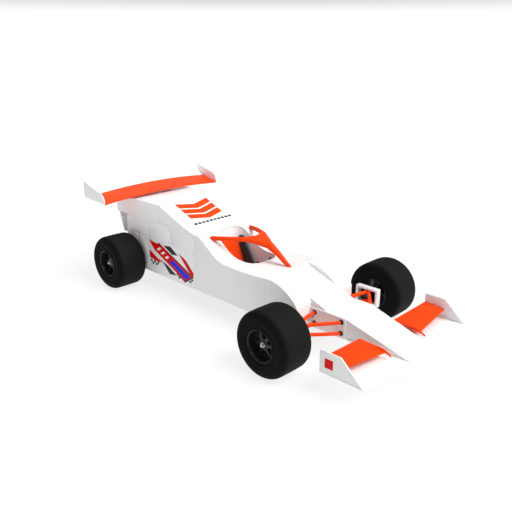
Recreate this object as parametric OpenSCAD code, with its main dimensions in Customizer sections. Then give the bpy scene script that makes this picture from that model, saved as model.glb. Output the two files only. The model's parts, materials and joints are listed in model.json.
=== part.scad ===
// Open wheel racing car. +X is forward, +Y is the car's left, +Z is up.
// The origin is on the ground, midway along the car's length and width.

/* [Overall] */
// Width over the front tyres
overall_w = 2000; // [1960:10:2400]
// Distance between the front and rear axles
wheelbase = 2662; // [2210:10:3200]
// Width of the body
body_w = 822; // [700:2:986]
// Ground clearance under the body
ride_h = 204; // [170:2:216]

/* [Wheels] */
// Outside radius of a tyre
tyre_r = 306; // [300:1:320]
// Width of a tyre
tyre_w = 364; // [304:2:380]
// Radius of a wheel rim
rim_r = 150; // [140:1:180]
// Radius of the rounded tyre shoulder
shoulder_r = 66; // [40:1:79]

/* [Body] */
// Thickness of the body skins
skin = 18; // [12:1:24]
// Height of the top of the tail above the ground
tail_top = 1024; // [950:2:1150]
// Height of the step behind the cockpit
shoulder_top = 815; // [800:1:860]
// Height of the cockpit sides
sill_top = 606; // [590:1:640]
// Gap between neighbouring side panels
panel_gap = 3; // [2:0.5:5]

/* [Cockpit] */
// Width of the cockpit opening
opening_w = 394; // [380:2:470]
// Radius of the halo's tubes
halo_r = 25; // [20:1:30]

/* [Front end] */
// Width of the suspension box
box_w = 442; // [420:2:530]
// Width of the front splitter
splitter_w = 1622; // [1400:2:1946]
// Height of the front end plates above the splitter
plate_h = 202; // [170:2:240]

/* [Rear wing] */
// Span of the rear wing
wing_w = 1640; // [1370:2:1960]
// How far the middle of the rear wing arches up
wing_bow = 42; // [20:1:50]

/* [Fits] */
// Radial clearance of the running fits
run_gap = 0.05; // [0.02:0.01:0.1]
// Radius of the hole in the rear tow eye
tow_r = 25; // [18:1:30]
// Thickness of the rear tow eye
tow_t = 12; // [8:1:20]

/* [Hidden] */
$fn = 64;

body_y = body_w / 2;
box_y = box_w / 2;
box_top = ride_h + 199;
opening_y = opening_w / 2;
small_gap = 0.3;
splitter_y = splitter_w / 2;
wing_y = wing_w / 2;
far = 4000;

// Stations along the car
front_axle_x = 951;
rear_axle_x = front_axle_x - wheelbase;
tail_x = rear_axle_x - 286;
crest_x = rear_axle_x + 553;
cover_x = -573;
cockpit_x = 451;
cowl_x = 855;
box_x = 1256;
nose_x = 1905;
splitter_x = 2025;
function along_cover(u) = tail_x + u * (cover_x - tail_x);

// Heights of the two seams along the rear sides
seam_high = shoulder_top - 2;
seam_low = seam_high - 204;

// Wheel centres and steering axes
front_wheel_y = overall_w / 2 - tyre_w / 2;
rear_wheel_y = body_y + 20 + tyre_w / 2;
axle_z = tyre_r;
king_y = front_wheel_y - tyre_w / 2 - 68;
axle_r = 20;
pin_r = 12;
flange_r = 75;

// --- Curves and helpers ---

function cubic(p, t) = pow(1 - t, 3) * p[0] + 3 * t * pow(1 - t, 2) * p[1]
  + 3 * t * t * (1 - t) * p[2] + pow(t, 3) * p[3];
function curve(p, n = 12) = [for (i = [0:n]) cubic(p, i / n)];
function arc(c, r, a0, a1, n = 8) =
  [for (i = [0:n]) let (a = a0 + (a1 - a0) * i / n) c + r * [cos(a), sin(a)]];
function flip(p) = [for (i = [len(p) - 1:-1:0]) p[i]];
function between(p, x0, x1) = [for (q = p) if (q[0] >= x0 && q[0] <= x1) q];

// A line's points moved square to it by t, to the right of its direction
function inset(p, t) = [for (i = [0:len(p) - 1])
  let (a = p[max(i - 1, 0)], b = p[min(i + 1, len(p) - 1)], d = (b - a) / norm(b - a))
  p[i] + t * [d[1], -d[0]]];

// An outline in X and Z drawn out along Y from y0 to y1
module side_extrude(y0, y1) {
  translate([0, y1, 0]) rotate([90, 0, 0]) linear_extrude(y1 - y0) children();
}

module mirrored() {
  children();
  mirror([0, 1, 0]) children();
}

// A straight round bar from a to b
module bar(a, b, r) {
  d = b - a;
  translate(a)
    rotate([0, acos(d[2] / norm(d)), atan2(d[1], d[0])])
      cylinder(r = r, h = norm(d));
}

// A rounded rectangle from x0 to x1, centred on y = 0
module rounded(x0, x1, y, r) {
  polygon(concat(arc([x1 - r, y - r], r, 0, 90), arc([x0 + r, y - r], r, 90, 180),
    arc([x0 + r, r - y], r, 180, 270), arc([x1 - r, r - y], r, 270, 360)));
}

// --- Side profile of the body's top, from tail to cowl ---

slope_l = cover_x - crest_x;
cover_top = concat(
  curve([[tail_x, tail_top - 52], [tail_x + 190, tail_top - 2],
    [crest_x - 400, tail_top], [crest_x, tail_top]], 10),
  curve([[crest_x + 5, tail_top - 2], [crest_x + 0.27 * slope_l, tail_top - 66],
    [crest_x + 0.65 * slope_l, shoulder_top + 54], [cover_x, shoulder_top + 1]], 12));
mid_top = concat([[cover_x, shoulder_top - 1]],
  curve([[-507, shoulder_top - 3], [-400, shoulder_top - 36], [-290, sill_top + 19],
    [-120, sill_top + 1]], 14),
  curve([[-100, sill_top], [100, sill_top - 10], [300, sill_top - 6],
    [cockpit_x, sill_top + 12]], 8));
cowl_top = curve([[cockpit_x, sill_top + 12], [600, sill_top + 30], [760, 562],
  [cowl_x, 440]], 16);
hood_y = 205;
hood_line = [[cockpit_x, sill_top + 6], [1047, box_top]];

// --- Body ---

module floor_pan() {
  x0 = along_cover(0.133);
  color([0.14, 0.14, 0.15])
    translate([x0, skin - body_y, ride_h])
      cube([cowl_x - skin - x0, body_w - 2 * skin, 12]);
}

module mid_side() {
  x0 = cover_x + panel_gap;
  color("white")
    side_extrude(body_y - skin, body_y)
      polygon(concat([[x0, ride_h], [x0, shoulder_top - 1]],
        between(mid_top, x0 + 1, cockpit_x), [[cockpit_x, ride_h]]));
}

open_x0 = -551;
open_x1 = 80;
open_r = 125;

module cockpit_deck() {
  top = concat([[cover_x + panel_gap, shoulder_top - 1]], between(mid_top, -520, cockpit_x));
  color("white")
    difference() {
      side_extrude(skin - body_y, body_y - skin) polygon(concat(top, flip(inset(top, skin))));
      linear_extrude(far) rounded(open_x0, open_x1, opening_y, open_r);
    }
}

// The inner walls of the cockpit, open to the floor and to the driver's feet
tub_wall = 12;
column_a = [32, 0, 544];
column_b = [190, 0, 503];

module cockpit_tub() {
  top = concat([[cover_x + panel_gap, shoulder_top - 1]], between(mid_top, -520, cockpit_x));
  under = inset(top, skin);
  color([0.93, 0.93, 0.93])
    difference() {
      intersection() {
        translate([0, 0, ride_h + 12]) linear_extrude(800) difference() {
          rounded(open_x0 - tub_wall, open_x1 + tub_wall, opening_y + tub_wall,
            open_r + tub_wall);
          rounded(open_x0, open_x1, opening_y, open_r);
        }
        side_extrude(-body_y, body_y)
          polygon(concat([[under[0][0], 0]], under, [[cockpit_x, 0]]));
      }
      translate([0, -120, 0]) cube([200, 240, 470]);
      bar(column_a, column_b, 14);
    }
}

module front_cowl() {
  x0 = cockpit_x + panel_gap;
  top = concat([[x0, sill_top + 12.4]], between(cowl_top, x0 + 1, cowl_x));
  inner = inset(top, skin);
  color("white")
    difference() {
      union() {
        difference() {
          side_extrude(-body_y, body_y)
            polygon(concat([[x0, ride_h]], top, [[cowl_x, ride_h]]));
          side_extrude(skin - body_y, body_y - skin)
            polygon(concat([[x0 - 9, 0], [x0 - 9, inner[0][1]]],
              between(inner, x0, cowl_x - skin), [[cowl_x - skin, inner[len(inner) - 1][1]],
              [cowl_x - skin, 0]]));
        }
        mirrored() side_extrude(hood_y, hood_y + skin)
          polygon(concat([[x0, ride_h + 12]], top, [[cowl_x, ride_h + 12]]));
      }
      side_extrude(-hood_y, hood_y)
        polygon([[0, far], [x0 - 1, lookup(x0 - 1, hood_line) - skin - small_gap],
          [cowl_x + 1, lookup(cowl_x + 1, hood_line) - skin - small_gap], [cowl_x + 1, far]]);
    }
}

module hood() {
  x0 = cockpit_x + panel_gap;
  z1 = lookup(cowl_x, hood_line);
  color("white")
    side_extrude(small_gap - hood_y, hood_y - small_gap)
      polygon([[x0, lookup(x0, hood_line)], [hood_line[1][0], box_top],
        [cowl_x + 0.5, box_top], [cowl_x + 0.5, z1 - skin],
        [x0, lookup(x0, hood_line) - skin]]);
}

// --- Front end ---

arm_legs = [front_axle_x - 45, front_axle_x + 263];
arm_levels = [[251, 261], [360, 350]];
arm_r = 17;
bush_r = 24;
bush_out = 6;
rack_x = front_axle_x - 71;
rack_z = 312;

module suspension_box() {
  color("white")
    difference() {
      translate([cowl_x, -box_y, ride_h]) cube([box_x - cowl_x, box_w, box_top - ride_h]);
      mirrored() for (x = arm_legs, z = arm_levels)
        translate([x, box_y - 30, z[0]]) rotate([-90, 0, 0]) cylinder(r = bush_r, h = 31);
      translate([rack_x, -box_y - 1, rack_z]) rotate([-90, 0, 0])
        cylinder(r = 16, h = box_w + 2);
    }
}

module arm_bushes() {
  color([0.05, 0.05, 0.05])
    mirrored() for (x = arm_legs, z = arm_levels)
      translate([x, box_y - 30, z[0]]) rotate([-90, 0, 0])
        cylinder(r = bush_r - 0.2, h = 30 + bush_out);
}

// One wishbone: two legs from the box to an eye around the steering pin
module wishbone(z) {
  eye = [front_axle_x, king_y, z[1]];
  difference() {
    union() {
      for (x = arm_legs) bar([x, box_y - 10, z[0]], eye, arm_r);
      translate(eye - [0, 0, 15]) cylinder(r = 26, h = 30);
    }
    translate(eye - [0, 0, 20]) cylinder(r = pin_r + run_gap, h = 40);
    translate([0, box_y + bush_out + small_gap - 100, 0]) cube([far, 100, far]);
  }
}

module front_arms() {
  color([1, 0.33, 0.05]) mirrored() for (z = arm_levels) wishbone(z);
}

nose_y = 212;
nose_tip_y = 186;
nose_tip_z = ride_h + 13;

module nose_cone() {
  color("white")
    intersection() {
      side_extrude(-far, far)
        polygon([[box_x + 0.3, ride_h + 13], [box_x + 0.3, box_top - 4],
          [nose_x, nose_tip_z + 2], [nose_x, nose_tip_z]]);
      linear_extrude(far)
        polygon([[box_x, -nose_y], [nose_x, -nose_tip_y], [nose_x, nose_tip_y],
          [box_x, nose_y]]);
    }
}

plate_x = 1451;
kink_x = 1659;
tip_x = 1877;
corner_y = 140;
point_x = splitter_x + 33;

module splitter() {
  color("white")
    translate([0, 0, ride_h - 1]) linear_extrude(13)
      polygon([[plate_x, -splitter_y], [tip_x, -splitter_y], [splitter_x, -corner_y],
        [point_x, 0], [splitter_x, corner_y], [tip_x, splitter_y], [plate_x, splitter_y],
        [plate_x, nose_y + 50], [box_x + 1, nose_y], [box_x + 1, -nose_y],
        [plate_x, -nose_y - 50]]);
}

module front_end_plates() {
  z0 = ride_h + 12.3;
  color("white")
    mirrored() side_extrude(splitter_y - 12, splitter_y)
      polygon([[plate_x, z0], [plate_x, ride_h + plate_h], [kink_x, ride_h + plate_h],
        [tip_x, z0]]);
}

// A front wing: level at the end plate, lower and further forward by the nose
wing_in_y = 262;
wing_out_y = splitter_y - 12.3;

module front_wing() {
  out_top = ride_h + 118;
  in_top = ride_h + 96;
  function section(y, x0, x1, z0, drop) = [
    [x0, y, z0], [x1 - 90, y, z0 - 0.25 * drop], [x1 - 25, y, z0 - 0.6 * drop],
    [x1, y, z0 - drop], [x1 - 4, y, z0 - drop - 8], [x1 - 40, y, z0 - drop - 6],
    [x1 - 110, y, z0 - 0.5 * drop - 18], [x0, y, z0 - 8]];
  points = concat(section(wing_in_y, plate_x - 6, kink_x + 92, in_top, 36),
    section(wing_out_y, plate_x + 4, kink_x + 4, out_top, 14));
  n = 8;
  color([1, 0.33, 0.05]) {
    polyhedron(points, concat([[for (i = [0:n - 1]) i]],
      [for (i = [0:n - 1]) let (j = (i + 1) % n) [i, i + n, j + n, j]],
      [[for (i = [n - 1:-1:0]) i + n]]), convexity = 4);
  }
}

// --- Rear body ---

module engine_cover() {
  x1 = cover_x;
  top = concat(between(cover_top, tail_x, x1 - 1), [[x1, shoulder_top]]);
  color("white")
    side_extrude(skin - body_y, body_y - skin) polygon(concat(top, flip(inset(top, skin))));
}

// Side panels: a high, a middle and a low row, split at their upright seams
module panel(x0, x1, z0, z1) {
  g = panel_gap / 2;
  side_extrude(body_y - skin, body_y)
    polygon([[x0 + g, z0 + g], [x1 - g, z0 + g], [x1 - g, z1 - g], [x0 + g, z1 - g]]);
}

module rear_side() {
  high = [tail_x, along_cover(0.281), along_cover(0.557), cover_x];
  middle = [along_cover(0.281), along_cover(0.418), along_cover(0.709), cover_x];
  low = [along_cover(0.133), along_cover(0.281), along_cover(0.418), cover_x];
  g = panel_gap / 2;
  x0 = low[0];
  color("white") {
    for (i = [0:2]) let (a = high[i] + (i > 0 ? g : 0), b = high[i + 1] - (i < 2 ? g : 0))
      side_extrude(body_y - skin, body_y)
        polygon(concat([[b, seam_high + g], [a, seam_high + g], [a, lookup(a, cover_top)]],
          between(cover_top, a + 1, b - 1), [[b, lookup(b, cover_top)]]));
    for (i = [0:2]) panel(middle[i], middle[i + 1], seam_low, seam_high);
    difference() {
      for (i = [0:2]) panel(low[i], low[i + 1], ride_h - g, seam_low);
      translate([rear_axle_x, 0, axle_z]) rotate([-90, 0, 0]) cylinder(r = flange_r + 5, h = far);
    }
    // The rearmost middle panel has one rounded corner
    side_extrude(body_y - skin, body_y)
      polygon(concat([[middle[0] - g, seam_low + g], [middle[0] - g, seam_high - g]],
        arc([x0 + 30, seam_high - g - 30], 30, 90, 180, 5), [[x0, seam_low + g]]));
  }
}

// The recessed inner sides and the closing wall of the tail
recess = 26;
module tail_frame() {
  z0 = seam_low - 34;
  t = 10;
  color([0.75, 0.75, 0.76]) {
    mirrored() side_extrude(body_y - recess - t, body_y - recess)
      polygon([[tail_x + 4, seam_high], [along_cover(0.2), seam_high],
        [along_cover(0.2), z0], [tail_x + 73, z0]]);
    difference() {
      side_extrude(recess + t + 0.3 - body_y, body_y - recess - t - 0.3)
        polygon([[tail_x + 4, seam_high], [tail_x + 4 + t, seam_high],
          [tail_x + 73 + t, z0], [tail_x + 73, z0]]);
      translate([tail_x - 50, -60, seam_high - 110]) cube([200, 120, 60]);
    }
  }
}

module rear_light() {
  x = tail_x + 14;
  color([0.8, 0.02, 0.02])
    translate([x, -59, seam_high - 109]) cube([26, 118, 58]);
}

// --- Rear wing: sections arched along the span ---

// Upper surface of the wing in X and Z, from its front edge to its rear edge
wing_front_x = tail_x + 397;
wing_split_x = tail_x + 150;
wing_t = 20;
pylon_y = 150;
function arch(y) = wing_bow * (1 - pow(y / wing_y, 2));
main_line = curve([[wing_front_x, 1032], [wing_front_x - 70, 1044], [wing_split_x + 90, 1060],
  [wing_split_x, 1083]], 5);
flap_line = curve([[wing_split_x - 3, 1084], [wing_split_x - 70, 1104],
  [tail_x + 36, 1180], [tail_x + 5, 1236]], 6);

// A curved plate whose upper line is p, t thick, arched along the span
module arched_plate(p, t) {
  m = 14;
  line = concat(p, flip(inset(p, -t)));
  n = len(line);
  y1 = wing_y - 12.3;
  points = [for (k = [0:m]) let (y = -y1 + 2 * y1 * k / m) for (q = line)
    [q[0], y, q[1] + arch(y)]];
  polyhedron(points, concat([[for (i = [n - 1:-1:0]) i]],
    [for (k = [0:m - 1], i = [0:n - 1]) let (j = (i + 1) % n)
      [k * n + i, k * n + j, k * n + n + j, k * n + n + i]],
    [[for (i = [0:n - 1]) m * n + i]]), convexity = 6);
}

module rear_wing_main() {
  color([1, 0.33, 0.05]) arched_plate(main_line, wing_t);
}

module rear_wing_flap() {
  color("white") arched_plate(flap_line, 14);
}

module rear_end_plates() {
  x0 = tail_x - 10;
  color("white")
    mirrored() side_extrude(wing_y - 12, wing_y)
      polygon(concat([[x0, 1041], [x0, 1236], [x0 + 19, 1225]],
        curve([[wing_front_x - 68, 1142], [wing_front_x - 20, 1122],
          [wing_front_x + 10, 1085], [wing_front_x, 1027]], 6)));
}

// The part of a line from x0 to x1 with its ends, moved up by z
function piece(p, x0, x1, z) = [for (q = concat([[x0, lookup(x0, p)]],
  between(p, x0 + 1, x1 - 1), [[x1, lookup(x1, p)]])) q + [0, z]];

module rear_wing_pylons() {
  x0 = wing_front_x - 240;
  x1 = wing_front_x - 120;
  under = flip(inset(main_line, -wing_t));
  color([0.9, 0.9, 0.9])
    mirrored() side_extrude(pylon_y, pylon_y + 16)
      polygon(concat(piece(cover_top, x0, x1, small_gap),
        flip(piece(under, x0, x1, arch(pylon_y + 16) - 2 * small_gap))));
}

// --- Cockpit ---

halo_end = [-445, 285, 790];
halo_mid = [-250, 213, 800];
halo_front = [-40, 92, 812];
halo_web = [-115, 118, 808];
halo_joint = [80, 0, 802];
halo_bend = [190, 0, 754];
halo_foot = [404, 0, 600];

module ball(p, r = halo_r) {
  translate(p) sphere(r = r, $fn = 20);
}

module halo() {
  color([1, 0.33, 0.05])
    difference() {
      union() {
        mirrored() {
          hull() {
            ball(halo_end - [10, 0, 20], halo_r + 4);
            ball(halo_end, halo_r + 3);
          }
          hull() {
            ball(halo_end, halo_r + 3);
            ball(halo_mid);
          }
          hull() {
            ball(halo_mid);
            ball(halo_front, halo_r + 3);
          }
          hull() {
            ball(halo_front, halo_r + 3);
            ball(halo_joint, halo_r + 9);
          }
        }
        hull() {
          ball(halo_joint, halo_r + 9);
          ball(halo_bend, halo_r + 5);
        }
        hull() {
          ball(halo_bend, halo_r + 5);
          ball(halo_foot);
        }
        hull() {
          mirrored() ball(halo_web, halo_r - 7);
          ball(halo_joint, halo_r - 4);
        }
      }
      side_extrude(-body_y, body_y)
        polygon(concat([[cover_x, 0]], mid_top, [[cockpit_x, 0]]));
    }
}

seat_y = 178;
seat_floor = ride_h + 12;

// The space inside the cockpit's walls
module inside_tub() {
  linear_extrude(far)
    rounded(open_x0 + 2, open_x1 - 2, opening_y - 2, open_r - 2);
}

module seat_shell() {
  color([1, 0.33, 0.05])
    intersection() {
      side_extrude(-seat_y + 30, seat_y - 30)
        polygon([[-60, seat_floor], [-60, 236], [-380, 262], [-434, 417], [-537, 705],
          [-546, 702], [-455, 410], [-402, seat_floor]]);
      inside_tub();
    }
}

module seat_bolsters() {
  color([0.04, 0.04, 0.04])
    intersection() {
      mirrored() side_extrude(seat_y - 29.7, seat_y)
        polygon([[-60, seat_floor], [-60, 290], [-250, 330], [-272, 447], [-395, 642],
          [-425, 720], [-475, 728], [-540, 704], [-455, 410], [-402, seat_floor]]);
      inside_tub();
    }
}

module seat_cushion() {
  color([0.06, 0.06, 0.06])
    side_extrude(40 - seat_y, seat_y - 40)
      polygon([[-80, 238], [-80, 276], [-366, 304], [-377, 262.3]]);
}

// Yoke with two grips, on a column through the dash
grip_y = 88;

module steering_wheel() {
  tilt = atan2(column_a[2] - column_b[2], column_b[0] - column_a[0]);
  color([0.05, 0.05, 0.06]) {
    bar(column_a, column_b, 11);
    translate(column_a) rotate([0, tilt, 0]) {
      for (s = [-1, 1]) translate([0, s * grip_y, -48]) cylinder(r = 13, h = 104);
      translate([-11, -grip_y, -34]) cube([22, 2 * grip_y, 60]);
      translate([-16, -42, -28]) cube([20, 84, 48]);
    }
  }
}

// --- Steering and front uprights ---

module steering_rack() {
  color([0.3, 0.3, 0.32]) {
    translate([rack_x, -king_y, rack_z]) rotate([-90, 0, 0]) cylinder(r = 8, h = 2 * king_y);
    mirrored() translate([rack_x, king_y, rack_z - 34]) cylinder(r = 6, h = 38);
  }
}

frame_x = 127;
frame_z = 94;
frame_bar = 25;

module upright() {
  color("white")
    translate([front_axle_x, 0, axle_z]) side_extrude(king_y - 40, king_y + 22)
      difference() {
        square([2 * frame_x, 2 * frame_z], center = true);
        square(2 * [frame_x - frame_bar, frame_z - frame_bar], center = true);
      }
}

module hub_carrier() {
  pin_h = 2 * (frame_z - frame_bar);
  color([0.12, 0.12, 0.13])
    translate([front_axle_x, king_y, axle_z]) {
      translate([0, 0, -pin_h / 2]) cylinder(r = pin_r, h = pin_h);
      translate([-38, -22, -22]) cube([76, 44, 44]);
      rotate([-90, 0, 0]) cylinder(r = axle_r, h = front_wheel_y + tyre_w / 2 - 70 - king_y);
      difference() {
        translate([-92, -18, -22]) cube([80, 36, 10]);
        translate([rack_x - front_axle_x, 0, -30]) cylinder(r = 12.5, h = 30);
      }
    }
}

// --- Rear drive ---

module rear_axle() {
  y1 = rear_wheel_y + tyre_w / 2 - 70;
  color([0.25, 0.25, 0.26])
    translate([rear_axle_x, 0, axle_z]) {
      translate([0, -y1, 0]) rotate([-90, 0, 0]) cylinder(r = axle_r, h = 2 * y1);
      mirrored() {
        translate([0, 121, 0]) rotate([-90, 0, 0]) cylinder(r = 32, h = body_y - 145);
        translate([0, body_y - 24, 0]) rotate([-90, 0, 0]) cylinder(r = flange_r, h = 24);
      }
    }
}

// The gearbox, with the tow eye behind it below the tail
tow_x = rear_axle_x - 240;
tow_z = ride_h + 60;

module gearbox() {
  z0 = ride_h + 12 + small_gap;
  color([0.35, 0.35, 0.36])
    difference() {
      union() {
        translate([rear_axle_x - 150, -120, z0]) cube([400, 240, axle_z + 130 - z0]);
        translate([tow_x, 0, tow_z]) linear_extrude(tow_t) {
          circle(r = tow_r + 16);
          translate([0, -tow_r - 16]) square([100, 2 * tow_r + 32]);
        }
      }
      translate([rear_axle_x, -130, axle_z]) rotate([-90, 0, 0])
        cylinder(r = axle_r + run_gap, h = 260);
      translate([tow_x, 0, tow_z - 1]) cylinder(r = tow_r, h = tow_t + 2);
    }
}

module engine_block() {
  x0 = rear_axle_x + 250.3;
  color([0.4, 0.4, 0.42])
    translate([x0, -260, ride_h + 12]) cube([cover_x - 60 - x0, 520, 420]);
}

// --- Wheels, drawn on the left and facing +Y, centred on the origin ---

module tyre() {
  y = tyre_w / 2;
  color([0.04, 0.04, 0.04])
    rotate([-90, 0, 0]) rotate_extrude($fn = 96)
      polygon(concat([[rim_r, -y + 6], [rim_r + 10, -y]],
        arc([tyre_r - shoulder_r, shoulder_r - y], shoulder_r, 270, 360),
        arc([tyre_r - shoulder_r, y - shoulder_r], shoulder_r, 0, 90),
        [[rim_r + 10, y], [rim_r, y - 6]]));
}

module rim() {
  y = tyre_w / 2;
  disc_y = y - 82;
  color([0.06, 0.06, 0.07])
    rotate([-90, 0, 0]) difference() {
      union() {
        difference() {
          translate([0, 0, 8 - y]) cylinder(r = rim_r, h = 2 * y - 16);
          translate([0, 0, -y]) cylinder(r = rim_r - 9, h = 2 * y);
        }
        translate([0, 0, disc_y - 60]) cylinder(r = 38, h = 86);
        for (a = [0:60:300]) rotate([0, 0, a])
          translate([30, -14, disc_y - 8]) cube([rim_r - 34, 28, 16]);
      }
      translate([0, 0, -y]) cylinder(r = axle_r + run_gap, h = 2 * y - 65);
    }
}

module at_wheel(x, y, left) {
  translate([x, left ? y : -y, axle_z]) rotate([0, 0, left ? 0 : 180]) children();
}

floor_pan();
mid_side();  // mid_side_left
mirror([0, 1, 0]) mid_side();  // mid_side_right
cockpit_deck();
cockpit_tub();
front_cowl();
hood();
suspension_box();
nose_cone();
splitter();
front_wing();  // front_wing_left
mirror([0, 1, 0]) front_wing();  // front_wing_right
front_end_plates();
engine_cover();
rear_side();  // rear_side_left
mirror([0, 1, 0]) rear_side();  // rear_side_right
tail_frame();
rear_light();
rear_wing_main();
rear_wing_flap();
rear_end_plates();
rear_wing_pylons();
halo();
seat_shell();
seat_bolsters();
seat_cushion();
steering_wheel();
steering_rack();
front_arms();
arm_bushes();
upright();  // upright_left
mirror([0, 1, 0]) upright();  // upright_right
hub_carrier();  // hub_carrier_left
mirror([0, 1, 0]) hub_carrier();  // hub_carrier_right
rear_axle();
gearbox();
engine_block();
at_wheel(front_axle_x, front_wheel_y, true) tyre();  // tyre_front_left
at_wheel(front_axle_x, front_wheel_y, false) tyre();  // tyre_front_right
at_wheel(rear_axle_x, rear_wheel_y, true) tyre();  // tyre_rear_left
at_wheel(rear_axle_x, rear_wheel_y, false) tyre();  // tyre_rear_right
at_wheel(front_axle_x, front_wheel_y, true) rim();  // rim_front_left
at_wheel(front_axle_x, front_wheel_y, false) rim();  // rim_front_right
at_wheel(rear_axle_x, rear_wheel_y, true) rim();  // rim_rear_left
at_wheel(rear_axle_x, rear_wheel_y, false) rim();  // rim_rear_right
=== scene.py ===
import json
import math

import bmesh
import bpy
from mathutils import Matrix, Vector
from mathutils.bvhtree import BVHTree


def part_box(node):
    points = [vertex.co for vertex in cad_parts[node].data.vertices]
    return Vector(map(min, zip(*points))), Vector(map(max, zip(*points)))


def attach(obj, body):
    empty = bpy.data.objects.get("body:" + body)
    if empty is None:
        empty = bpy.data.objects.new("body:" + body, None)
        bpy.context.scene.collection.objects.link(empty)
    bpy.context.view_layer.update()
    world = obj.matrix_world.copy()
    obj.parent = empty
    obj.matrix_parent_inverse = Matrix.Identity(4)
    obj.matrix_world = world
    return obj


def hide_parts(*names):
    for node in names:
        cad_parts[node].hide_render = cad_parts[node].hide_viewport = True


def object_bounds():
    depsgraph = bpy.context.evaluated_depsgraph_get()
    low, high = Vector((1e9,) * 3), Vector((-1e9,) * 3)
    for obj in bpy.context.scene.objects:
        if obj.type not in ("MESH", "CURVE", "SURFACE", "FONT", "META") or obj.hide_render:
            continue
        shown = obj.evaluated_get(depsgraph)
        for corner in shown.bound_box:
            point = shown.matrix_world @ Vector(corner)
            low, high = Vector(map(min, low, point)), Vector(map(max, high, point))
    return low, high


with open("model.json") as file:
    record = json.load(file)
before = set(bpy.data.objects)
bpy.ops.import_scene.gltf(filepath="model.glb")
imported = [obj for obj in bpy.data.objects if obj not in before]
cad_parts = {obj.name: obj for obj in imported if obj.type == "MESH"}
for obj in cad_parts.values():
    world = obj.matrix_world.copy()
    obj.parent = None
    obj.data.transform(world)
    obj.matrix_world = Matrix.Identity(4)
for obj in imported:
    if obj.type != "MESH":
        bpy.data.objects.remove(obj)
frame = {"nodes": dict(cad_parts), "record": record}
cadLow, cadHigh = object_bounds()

scene = bpy.context.scene
scene.view_settings.view_transform = "Standard"
sides = {"left": 1, "right": -1}


# Camera, floor and light

cameraSet = {"azimuth": 44.94, "elevation": 19.37, "distance": 7.012, "lens": 43.24,
             "aim": (-0.2395, 0.417, 0.3146)}  # the aim is a share of the car's highest corner


def placeCamera():
    turn, rise = math.radians(cameraSet["azimuth"]), math.radians(cameraSet["elevation"])
    back = Vector((math.sin(turn) * math.cos(rise), -math.cos(turn) * math.cos(rise), math.sin(rise)))
    aim = Vector([share * edge for share, edge in zip(cameraSet["aim"], cadHigh)])
    camera = addObject("camera", bpy.data.cameras.new("camera"))
    camera.data.lens = cameraSet["lens"]
    camera.location = aim + back * cameraSet["distance"]
    camera.rotation_euler = (-back).to_track_quat("-Z", "Y").to_euler()
    scene.camera = camera


studioSet = {"floorSize": 60, "floorColour": (0.20, 0.20, 0.20), "floorGlow": 0.80, "sunPower": 3.2,
             "sunAngle": 40, "sunFrom": (0.78, 0.24, 0.95), "skyPower": 1.0,
             "sky": [(0.04, (1.0, 1.0, 1.0)), (0.09, (0.13, 0.13, 0.13)), (0.45, (0.23, 0.23, 0.23)),
                     (0.9, (0.75, 0.75, 0.75))]}


def addObject(name, data):
    made = bpy.data.objects.new(name, data)
    scene.collection.objects.link(made)
    return made


def addNode(tree, kind, inputs=None, **settings):
    node = tree.nodes.new(kind)
    for name, value in settings.items():
        setattr(node, name, value)
    for name, value in (inputs or {}).items():
        if isinstance(value, bpy.types.NodeSocket):
            tree.links.new(value, node.inputs[name])
        else:
            node.inputs[name].default_value = value
    return node


def colourRamp(tree, factor, stops):
    node = addNode(tree, "ShaderNodeValToRGB", {"Fac": factor})
    ramp = node.color_ramp
    while len(ramp.elements) < len(stops):
        ramp.elements.new(0.5)
    for element, (place, colour) in zip(ramp.elements, stops):
        element.position = place
        element.color = (*colour, 1)
    return node.outputs["Color"]


def makeStudio():
    world = bpy.data.worlds.new("studio")
    scene.world = world
    world.use_nodes = True
    tree = world.node_tree
    place = placeFrom(tree, "Generated")
    height = addNode(tree, "ShaderNodeSeparateXYZ", {"Vector": place}).outputs["Z"]
    sky = colourRamp(tree, height, studioSet["sky"])
    shade = tree.nodes["Background"]
    tree.links.new(sky, shade.inputs["Color"])
    shade.inputs["Strength"].default_value = studioSet["skyPower"]
    sun = addObject("keyLight", bpy.data.lights.new("keyLight", "SUN"))
    sun.data.energy = studioSet["sunPower"]
    sun.data.angle = math.radians(studioSet["sunAngle"])
    sun.rotation_euler = Vector(studioSet["sunFrom"]).to_track_quat("Z", "Y").to_euler()
    floor = bmesh.new()
    bmesh.ops.create_circle(floor, cap_ends=True, radius=studioSet["floorSize"], segments=96)
    mesh = bpy.data.meshes.new("floor")
    floor.to_mesh(mesh)
    floor.free()
    plane = addObject("floor", mesh)
    material, tree, shader = startMaterial("paleFloor", {"Roughness": 0.9, "Specular IOR Level": 0.1})
    pale = studioSet["floorColour"]
    cloud = noise(tree, placeFrom(tree), 0.6, 3.0)
    tint = colourRamp(tree, cloud, [(0.3, pale), (0.7, [c * 0.985 for c in pale])])
    tree.links.new(tint, shader.inputs["Base Color"])
    shader.inputs["Emission Color"].default_value = (1, 1, 1, 1)
    shader.inputs["Emission Strength"].default_value = studioSet["floorGlow"]
    mesh.materials.append(material)


# Materials

def startMaterial(name, sockets):
    material = bpy.data.materials.new(name)
    material.use_nodes = True
    tree = material.node_tree
    shader = tree.nodes["Principled BSDF"]
    for socket, value in sockets.items():
        shader.inputs[socket].default_value = value
    return material, tree, shader


def spread(tree, value, low, high, start=0.3, end=0.7):
    node = addNode(tree, "ShaderNodeMapRange", {"Value": value, "From Min": start, "From Max": end,
                                               "To Min": low, "To Max": high})
    return node.outputs["Result"]


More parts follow.
